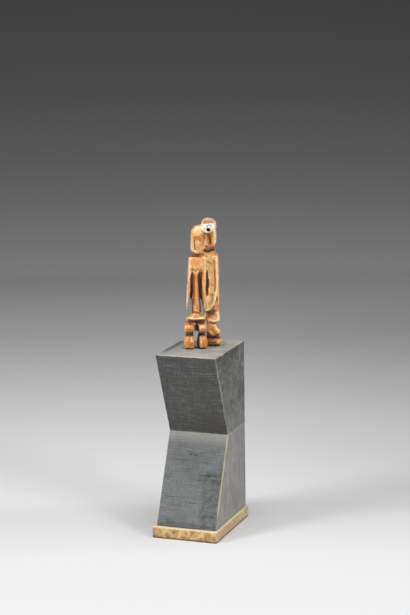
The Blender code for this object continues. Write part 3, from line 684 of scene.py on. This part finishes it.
def ivoryFinish():
    ivory = Finish("honey_ivory", Roughness=0.36, IOR=1.5)
    hidden, ridge, hollow = ivory.mark("hidden"), ivory.mark("ridge"), ivory.mark("hollow")
    plate, cap, dish = ivory.mark("plate"), ivory.mark("cap"), ivory.mark("dish")
    cloud = ivory.noise(170.0, 4.0, 0.6, 0.6)
    patch = ivory.noise(520.0, 3.0, 0.6, 0.3)
    grain = ivory.noise(700.0, 4.0, 0.6, 0.4, ivory.stretched((1.0, 1.0, 0.2)))
    fine = ivory.noise(2400.0, 3.0)
    blotch = ivory.noise(1150.0, 2.0, 0.5, 0.4)
    drift = ivory.noise(330.0, 4.0, 0.55, 0.5, ivory.stretched((1.0, 1.0, 0.16)))
    cracks = abs(drift - 0.5).below(0.001, 0.008) * cloud.above(0.46, 0.58)
    # dark: painted shade where the sky is hidden, together with patina in the hollows
    dark = (hidden + (patch - 0.5) * 0.3 * hidden).above(0.1, 1.0)
    specks = ivory.cells(850.0).below(0.1, 0.24) * cloud.above(0.5, 0.6) * (0.25 + 0.75 * plate)
    base = ivory.blend(cloud.above(0.34, 0.64), colour(240, 184, 114), colour(216, 142, 76))
    base = ivory.lay(base, [
        (grain.above(0.5, 0.75) * 0.4, (190, 110, 54)),
        (plate * (0.4 + 0.5 * cloud), (242, 208, 144)),
        # lighter on edges and ridges: rubbed patina and painted highlight
        (ridge * (0.4 + 0.6 * patch), (255, 222, 172)),
        (blotch.above(0.52, 0.66) * 0.4, (255, 206, 132)),
        (blotch.below(0.36, 0.46) * 0.4, (186, 98, 44)),
        (cap * (0.8 + 0.3 * patch), (252, 242, 226)),
        (dish * (0.5 + 0.6 * cloud), (164, 120, 94)),
        (hollow * (0.3 + 0.4 * patch), (140, 72, 34)),
        (cracks * 0.55, (150, 84, 42)),
        (dark * 0.85, (96, 48, 34)),
        (ivory.mark("slots"), (156, 112, 82)),
    ])
    # the strokes: patina stains, painted highlights and painted shade
    stainsAndPaintedLight = [(ivory.mark(name) * (0.62 + 0.7 * blotch), tone) for name, tone in tones.items()]
    base = ivory.lay(base, stainsAndPaintedLight + [(specks * 0.7, (94, 62, 34))])
    ivory.feed("Base Color", base)
    ivory.feed("Roughness", 0.24 + 0.18 * patch + 0.25 * dark)
    ivory.bump(grain * 0.4 + fine * 0.25 + specks * -0.6 + cracks * -0.5 + patch * 0.4, 0.00014, 0.6)
    return ivory.material


couple = makeCouple()
couple.data.materials.clear()
couple.data.materials.append(ivoryFinish())
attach(couple, "root")
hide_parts("carved_couple")
print("carving finished")


# the stand

stand = {
    "right": 0.02125, "edge": 0.0004, "seamEdge": 0.00008, "press": 0.00016,
    # dark scratches on the lower front: low, high, left, right and how dark
    "scratches": [
        (0.0515, 0.0528, -0.004, 0.002, 0.9),
        (0.0530, 0.0538, -0.006, 0.004, 0.5),
        (0.0480, 0.0488, -0.014, -0.004, 0.5),
        (0.0395, 0.0407, 0.005, 0.016, 0.7),
        (0.0432, 0.0438, -0.010, 0.002, 0.4),
        (0.0255, 0.0263, -0.017, -0.003, 0.6),
        (0.0225, 0.0233, -0.002, 0.006, 0.6),
        (0.0205, 0.0210, -0.012, 0.000, 0.4),
        (0.0320, 0.0325, -0.012, 0.008, 0.3),
    ],
}
# the front runs back by lean for each metre of height, and glue closes the glue line
upperBlock = {
    "node": "stand_upper_block", "name": "dark_upper_block", "slot": "dark_painted_wood",
    "foot": 0.0658, "footFront": -0.003, "topFront": -0.0265, "lean": -0.4181, "glue": 0.0, "cuts": 84,
    # face colours: one paint, lighter or darker on each face as the light falls on it, painted light and
    # shade
    "front": (66, 67, 65), "side": (87, 89, 87), "top": (154, 153, 147), "back": (72, 72, 69),
}
lowerBlock = {
    "node": "stand_lower_block", "name": "grey_lower_block", "slot": "grey_painted_wood",
    "foot": 0.008, "footFront": -0.0297, "topFront": -0.003, "lean": 0.4643, "glue": 0.00028, "cuts": 84,
    # face colours: one paint, lighter or darker on each face as the light falls on it, painted light and
    # shade
    "front": (104, 109, 108), "side": (150, 149, 146), "top": (120, 120, 116), "back": (100, 100, 98),
}


def placeMesh(shape, name):
    mesh = bpy.data.meshes.new(name)
    shape.to_mesh(mesh)
    shape.free()
    piece = bpy.data.objects.new(name, mesh)
    bpy.context.scene.collection.objects.link(piece)
    piece.data.shade_smooth()
    return piece


def roundOff(shape, edges, width, segments):
    bmesh.ops.bevel(
        shape, geom=edges, offset=width, segments=segments, profile=0.5, affect="EDGES", material=-1
    )


def atLevel(edge, level):
    return all(abs(corner.co.z - level) < 1e-5 for corner in edge.verts)


def makeBlock(part):
    low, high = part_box(part["node"])
    high.z += part["glue"]
    seam = high.z if part["glue"] else low.z
    shape = bmesh.new()
    bmesh.ops.create_cube(shape, size=1.0)
    for corner in shape.verts:
        front = part["topFront"] if corner.co.z > 0 else part["footFront"]
        corner.co.x = high.x if corner.co.x > 0 else low.x
        corner.co.y = high.y if corner.co.y > 0 else front
        corner.co.z = high.z if corner.co.z > 0 else low.z
    roundOff(shape, [e for e in shape.edges if not atLevel(e, seam)], stand["edge"], 3)
    # the glue line is closed tight
    roundOff(shape, [e for e in shape.edges if atLevel(e, seam)], stand["seamEdge"], 1)
    long = [e for e in shape.edges if e.calc_length() > 0.01]
    bmesh.ops.subdivide_edges(shape, edges=long, cuts=part["cuts"], use_grid_fill=True)
    bmesh.ops.recalc_face_normals(shape, faces=shape.faces)
    piece = placeMesh(shape, part["name"])
    wearEdges(piece, part, low, high)
    return piece


def wearEdges(piece, part, low, high):
    # rubs and chips the edges a little, and stores how near each point is to one
    surface = Surface(piece)
    x, y, z = surface.points.T
    share = (z - low.z) / (high.z - low.z)
    front = part["footFront"] + (part["topFront"] - part["footFront"]) * share
    gaps = np.sort(np.stack((x - low.x, high.x - x, y - front, high.y - y, z - low.z, high.z - z)), axis=0)
    near = np.clip(gaps[0], 0, None) + np.clip(gaps[1], 0, None)
    uneven = np.array([noise.noise(Vector(p) * 260.0) for p in surface.points])
    rub = (1.0 - smooth(near, 0.0002, 0.0013)) * np.clip(uneven, 0.0, 1.0)
    surface.press(surface.spread(rub, 2) * stand["press"])
    surface.store("edge", 1.0 - smooth(near, 0.0003, 0.0012))
    surface.store("rub", rub * 1.6)


def woodFinish(part):
    wood = Finish(part["slot"], Roughness=0.6)
    x, y, z = wood.along("X"), wood.along("Y"), wood.along("Z")
    isSide = abs(wood.facing("X")).above(0.5, 0.8)
    isTop = wood.facing("Z").above(0.75, 0.95)
    isBack = wood.facing("Y").above(0.6, 0.9)
    flat = (1 - isSide) * (1 - isTop)
    isFront = flat * (1 - isBack)
    cloud = wood.noise(60.0, 5.0, 0.6, 0.4)
    mottle = wood.noise(260.0, 4.0, 0.65, 0.3)
    lines = wood.noise(700.0, 3.0, 0.7, 0.0, wood.stretched((0.09, 1.0, 1.5)))
    hairs = wood.noise(1700.0, 2.0, 0.6, 0.0, wood.stretched((0.06, 1.0, 1.3)))
    weft = wood.noise(1500.0, 2.0, 0.6, 0.0, wood.stretched((1.2, 0.3, 0.1)))
    streaks = wood.noise(380.0, 3.0, 0.7, 0.5, wood.stretched((1.0, 1.0, 0.12)))
    dust = wood.cells(1300.0).below(0.12, 0.3) * mottle.above(0.45, 0.6)
    # each face gets its own colour: painted light and shade on one paint
    base = wood.blend(isSide, colour(*part["front"]), colour(*part["side"]))
    base = wood.lay(base, [
        (isTop, part["top"]),
        (isBack, part["back"]),
        (lines.above(0.5, 0.8) * flat * 0.32, (150, 152, 150)),
        (lines.below(0.3, 0.44) * flat * 0.46, (30, 30, 30)),
        (hairs.above(0.52, 0.8) * flat * 0.42, (160, 160, 156)),
        (weft.above(0.52, 0.8) * flat * 0.32, (150, 150, 148)),
        (weft.below(0.3, 0.45) * flat * 0.32, (34, 34, 34)),
        (cloud.below(0.36, 0.54) * 0.24, (44, 44, 44)),
        (dust * flat * 0.5, (164, 164, 160)),
    ])
    if part is upperBlock:
        swirl = wood.noise(230.0, 4.0, 0.62, 1.4)
        veins = abs(swirl - 0.5).below(0.006, 0.035) * isSide * cloud.above(0.40, 0.54)
        rust = x.above(0.0, 0.018) * z.below(0.070, 0.090) * flat * mottle.above(0.38, 0.66)
        dull = cloud.below(0.44, 0.6) * isTop * mottle.above(0.3, 0.65)
        # painted shadow along the left of the top
        leftEdgeShadow = x.below(-0.0175, -0.0145) * y.above(-0.022, -0.006) * isTop
        backEdge = y.above(0.016, 0.021) * isTop * mottle.above(0.3, 0.5)
        lip = (y + mottle * 0.005).below(part["topFront"] + 0.0038, part["topFront"] + 0.0068)
        # painted sheen on the top
        shine = x.within(-0.012, -0.006, 0.002, 0.008) * y.below(0.0, 0.008) * isTop
        dash = y.within(0.0225, 0.0228, 0.0234, 0.0238) * x.within(0.006, 0.0075, 0.011, 0.0135)
        base = wood.lay(base, [
            (mottle.above(0.42, 0.7) * isSide * 0.3, (134, 134, 128)),
            (mottle.below(0.34, 0.48) * isSide * 0.35, (54, 54, 52)),
            (veins * 0.7, (170, 170, 162)),
            (z.below(0.0655, 0.088) * isSide * 0.5, (136, 136, 132)),
            (streaks.above(0.5, 0.72) * isSide * 0.35, (136, 136, 130)),
            (streaks.below(0.32, 0.46) * isSide * 0.5, (54, 54, 52)),
            (z.above(0.104, 0.12) * isSide * mottle.below(0.4, 0.65) * 0.5, (50, 50, 48)),
            (rust * 0.45, (92, 68, 58)),
            (z.below(0.066, 0.084) * flat * 0.3, (40, 38, 36)),
            (x.below(-0.018, 0.012) * isTop * 0.35, (118, 118, 112)),
            (dull * 0.3, (120, 120, 114)),
            # painted shadow along the left of the top
            (leftEdgeShadow * 0.75, (78, 76, 70)),
            (backEdge * 0.5, (186, 184, 176)),
            (lip * isTop * mottle.above(0.28, 0.5) * 0.6, (190, 186, 177)),
            (shine * 0.12, (204, 204, 202)),
            (dash * isTop * 0.7, (46, 40, 34)),
        ])
        bright = wood.noise(300.0, 2.0).above(0.3, 0.6) * 0.55
        worn = colour(158, 156, 148)
    else:
        under = z.above(0.0565, 0.0655) * flat * (0.55 + 0.6 * lines)
        layers = [(under * 0.8, (166, 166, 161))]
        for low, high, left, right, share in stand["scratches"]:
            ends = x.within(left - 0.0012, left + 0.0012, right - 0.0012, right + 0.0012)
            scratch = z.within(low, low + 0.0003, high - 0.0003, high) * ends * isFront
            layers.append((scratch * mottle.above(0.25, 0.5) * share, (40, 40, 40)))
        smudge = x.above(0.003, 0.012) * z.within(0.033, 0.037, 0.040, 0.045) * isFront
        stripe = x.within(0.006, 0.011, 0.019, 0.0215) * z.below(0.030, 0.038) * isFront
        footLine = z.below(0.0095, 0.013) * flat * mottle.above(0.3, 0.6)
        brownStain = x.below(-0.012, -0.006) * z.within(0.046, 0.049, 0.051, 0.054) * isFront
        base = wood.lay(base, layers + [
            (smudge * mottle.above(0.3, 0.6) * 0.7, (42, 42, 42)),
            (stripe * mottle.above(0.33, 0.62) * 0.6, (54, 56, 57)),
            (footLine * 0.6, (54, 56, 57)),
            (brownStain * mottle.above(0.36, 0.6) * 0.45, (104, 84, 72)),
            (z.above(0.044, 0.064) * isSide * 0.3, (112, 111, 108)),
            (streaks.above(0.5, 0.7) * isSide * 0.45, (116, 104, 94)),
            (streaks.below(0.34, 0.48) * isSide * 0.4, (170, 168, 164)),
        ])
        bright = z.above(0.014, 0.020) * (0.1 + 1.1 * wood.noise(420.0, 2.0))
        worn = colour(206, 184, 150)
    seam = z.within(0.0646, 0.0653, 0.0662, 0.0668) * isSide
    base = wood.lay(base, [
        (seam * mottle.above(0.3, 0.55) * 0.5, (176, 174, 168)),
        (wood.mark("edge") * mottle.above(0.35, 0.7) * 0.35, (150, 148, 140)),
        (wood.mark("rub").above(0.25, 0.6) * 0.35, (170, 160, 142)),
    ])
    # the long worn edge between the front and the right side
    fromFront = y - (part["footFront"] + (z - part["foot"]) * part["lean"])
    corner = (stand["right"] - x + fromFront).below(0.0003, 0.0008)
    wood.feed("Base Color", wood.blend(corner * bright, base, worn))
    wood.feed("Roughness", 0.46 + 0.22 * cloud + 0.1 * mottle)
    wood.bump(lines * 0.5 + hairs * 0.3 + mottle * 0.5, 0.00016, 0.55)
    return wood.material


for part in (upperBlock, lowerBlock):
    piece = makeBlock(part)
    piece.data.materials.append(woodFinish(part))
    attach(piece, "root")
    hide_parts(part["node"])
print("stand blocks finished")

plinth = {
    "corner": 0.0014, "edge": 0.00045, "press": 0.00022, "cuts": 110, "tallCuts": 12, "name": "gilded_slab",
}


def heightOf(edge):
    return abs(edge.verts[0].co.z - edge.verts[1].co.z)


def makePlinth():
    low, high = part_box("gilded_plinth")
    size, middle = high - low, (low + high) / 2
    shape = bmesh.new()
    bmesh.ops.create_cube(shape, size=1.0)
    bmesh.ops.scale(shape, vec=size, verts=shape.verts)
    bmesh.ops.translate(shape, vec=middle, verts=shape.verts)
    roundOff(shape, [e for e in shape.edges if heightOf(e) > size.z / 2], plinth["corner"], 6)
    roundOff(shape, [e for e in shape.edges if heightOf(e) < 1e-6], plinth["edge"], 3)
    long = [e for e in shape.edges if e.calc_length() > 0.03]
    bmesh.ops.subdivide_edges(shape, edges=long, cuts=plinth["cuts"], use_grid_fill=True)
    tall = [e for e in shape.edges if heightOf(e) > size.z / 2]
    bmesh.ops.subdivide_edges(shape, edges=tall, cuts=plinth["tallCuts"], use_grid_fill=True)
    bmesh.ops.recalc_face_normals(shape, faces=shape.faces)
    piece = placeMesh(shape, plinth["name"])
    surface = Surface(piece)
    z = surface.points[:, 2]
    rim = 1.0 - smooth(np.minimum(z - low.z, high.z - z), 0.0003, 0.0012)
    upright = 1.0 - smooth(np.abs(surface.normals[:, 2]), 0.3, 0.8)
    uneven = np.array([
        noise.noise(Vector(p) * 300.0) + 0.6 * noise.noise(Vector(p) * 900.0) for p in surface.points
    ])
    surface.press((0.5 + 0.5 * np.clip(uneven, -1, 1)) * plinth["press"] * np.maximum(upright, rim))
    surface.store("rim", rim)
    return piece


def gildingFinish():
    gilding = Finish("worn_gilding", Roughness=0.4, Metallic=0.2)
    z = gilding.along("Z")
    isFront = gilding.facing("Y").below(-0.9, -0.4)
    flakes = gilding.noise(300.0, 5.0, 0.66, 0.4)
    warm = gilding.noise(900.0, 3.0, 0.6, 0.0)
    cloud = gilding.noise(110.0, 4.0, 0.6, 0.5)
    fine = gilding.noise(1600.0, 3.0)
    base = gilding.blend(cloud.above(0.35, 0.65), colour(216, 192, 156), colour(194, 164, 122))
    mottled = gilding.blend(flakes.above(0.36, 0.66), colour(138, 100, 56), colour(246, 212, 150))
    mottled = gilding.blend(warm.above(0.48, 0.66) * 0.6, mottled, colour(214, 142, 62))
    base = gilding.lay(gilding.blend(isFront * 0.85, base, mottled), [
        (flakes.below(0.3, 0.42) * 0.5, (118, 92, 62)),
        (z.below(0.0006, 0.0018) * (0.5 + 0.6 * flakes), (96, 84, 66)),
        # pale along the top edge: painted highlight
        (gilding.mark("rim") * z.above(0.004, 0.006) * 0.7, (244, 226, 190)),
    ])
    gilding.feed("Base Color", base)
    gilding.feed("Roughness", 0.34 + 0.3 * flakes)
    gilding.bump(flakes * 0.8 + fine * 0.3, 0.00018, 0.6)
    return gilding.material


slab = makePlinth()
slab.data.materials.append(gildingFinish())
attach(slab, "root")
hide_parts("gilded_plinth")
print("plinth finished")


# floor, light and camera

sweep = {
    "turn": 20.21, "near": -7.0, "wall": 1.15, "bend": 0.25, "height": 1.6, "halfWidth": 7.0,
    # where the greys begin, and over what length of floor and wall they run
    "greyStart": -0.6, "greyLength": 2.4,
    # how grey the sweep is painted, from the near floor to the top of the wall: painted shade, darker up
    # the wall where less light reaches
    "greys": [
        (0.0, 220), (0.225, 217), (0.255, 207), (0.268, 208), (0.275, 215), (0.30, 215), (0.36, 207),
        (0.43, 192), (0.50, 176), (0.58, 166), (0.64, 157), (0.68, 136), (0.72, 115), (0.76, 96),
        (0.80, 80), (0.84, 69), (0.87, 62), (1.0, 50),
    ],
}


def makeSweep():
    shape = bmesh.new()
    start = [shape.verts.new((x, sweep["near"], 0)) for x in (-sweep["halfWidth"], sweep["halfWidth"])]
    line = [shape.edges.new(start)]
    bendStart = sweep["wall"] - sweep["bend"]

    def pull(geometry, vec):
        made = bmesh.ops.extrude_edge_only(shape, edges=geometry)["geom"]
        bmesh.ops.translate(shape, vec=vec, verts=[v for v in made if isinstance(v, bmesh.types.BMVert)])
        edges = [e for e in made if isinstance(e, bmesh.types.BMEdge)]
        return [e for e in edges if e.is_boundary and e.calc_length() > 1]

    line = pull(line, (0, bendStart - sweep["near"], 0))
    line = [e for e in line if all(abs(v.co.y - bendStart) < 1e-6 for v in e.verts)]
    turned = bmesh.ops.spin(
        shape, geom=line, cent=(0, bendStart, sweep["bend"]), axis=(1, 0, 0),
        angle=radians(90), steps=16, use_duplicate=False,
    )["geom_last"]
    line = [e for e in turned if isinstance(e, bmesh.types.BMEdge)]
    pull(line, (0, 0, sweep["height"]))
    bmesh.ops.rotate(
        shape, cent=(0, 0, 0), matrix=Matrix.Rotation(radians(sweep["turn"]), 3, "Z"), verts=shape.verts
    )
    bmesh.ops.recalc_face_normals(shape, faces=shape.faces)
    piece = placeMesh(shape, "paper_sweep")
    return piece


def paperFinish():
    paper = Finish("pale_paper", Roughness=0.85)
    turn = radians(sweep["turn"])
    x, y, z = paper.along("X"), paper.along("Y"), paper.along("Z")
    depth = y * cos(turn) - x * sin(turn)
    way = (depth + z - sweep["greyStart"]) / sweep["greyLength"]
    ramp = paper.node("ShaderNodeValToRGB", {}, {0: way})
    stops = ramp.socket.node.color_ramp.elements
    for index, (at, grey) in enumerate(sweep["greys"]):
        stop = stops[index] if index < 2 else stops.new(at)
        stop.position = at
        stop.color = colour(grey, grey, grey)
    # a little darker to the right, as one softbox is weaker
    aside = x * cos(turn) + y * sin(turn)
    fall = aside.above(-0.06, 0.22) * way.within(0.25, 0.30, 0.5, 0.62)
    paper.feed("Base Color", paper.blend(fall * 0.17, ramp, colour(0, 0, 0)))
    return paper.material


paper = makeSweep()
paper.data.materials.append(paperFinish())

# name, place, aim, size and power of each lamp
softboxes = [
    ("left_softbox", (-0.75, -0.75, 0.75), (0, 0, 0.12), 0.45, 8.0),
    ("right_softbox", (1.0, -0.45, 0.6), (0, 0, 0.12), 0.45, 6.0),
    ("top_softbox", (0.1, -0.1, 1.15), (0, 0, 0.1), 0.7, 9.0),
]


def areaLight(name, place, aim, size, power):
    light = bpy.data.lights.new(name, "AREA")
    light.shape = "DISK"
    light.size = size
    light.energy = power
    made = bpy.data.objects.new(name, light)
    bpy.context.scene.collection.objects.link(made)
    made.location = place
    made.rotation_euler = (Vector(place) - Vector(aim)).to_track_quat("Z", "Y").to_euler()


for softbox in softboxes:
    areaLight(*softbox)
world = bpy.data.worlds.new("studio")
bpy.context.scene.world = world
world.use_nodes = True
world.node_tree.nodes["Background"].inputs["Color"].default_value = colour(190, 190, 192)
world.node_tree.nodes["Background"].inputs["Strength"].default_value = 0.35

# fitted to the stand's edges in the photo: metres, degrees, and the focal length in picture heights
cameraFit = {
    "place": (0.44789, -1.20313, 0.40950), "turn": 20.21, "rise": 11.45, "roll": -0.81,
    "focal": 2000 / 615, "sensor": 24,
}


def makeCamera(fit):
    turn, rise, roll = (radians(fit[k]) for k in ("turn", "rise", "roll"))
    back = Vector((sin(turn) * cos(rise), -cos(turn) * cos(rise), sin(rise)))
    right = Vector((cos(turn), sin(turn), 0))
    over = back.cross(right)
    rolledRight = right * cos(roll) + over * sin(roll)
    rolledOver = over * cos(roll) - right * sin(roll)
    lens = bpy.data.cameras.new("camera")
    lens.sensor_fit = "VERTICAL"
    lens.sensor_height = fit["sensor"]
    lens.lens = fit["sensor"] * fit["focal"]
    made = bpy.data.objects.new("camera", lens)
    bpy.context.scene.collection.objects.link(made)
    axes = Matrix((rolledRight, rolledOver, back)).transposed().to_4x4()
    made.matrix_world = Matrix.Translation(fit["place"]) @ axes
    bpy.context.scene.camera = made


makeCamera(cameraFit)
bpy.context.scene.view_settings.view_transform = "Standard"

print("scene finished")
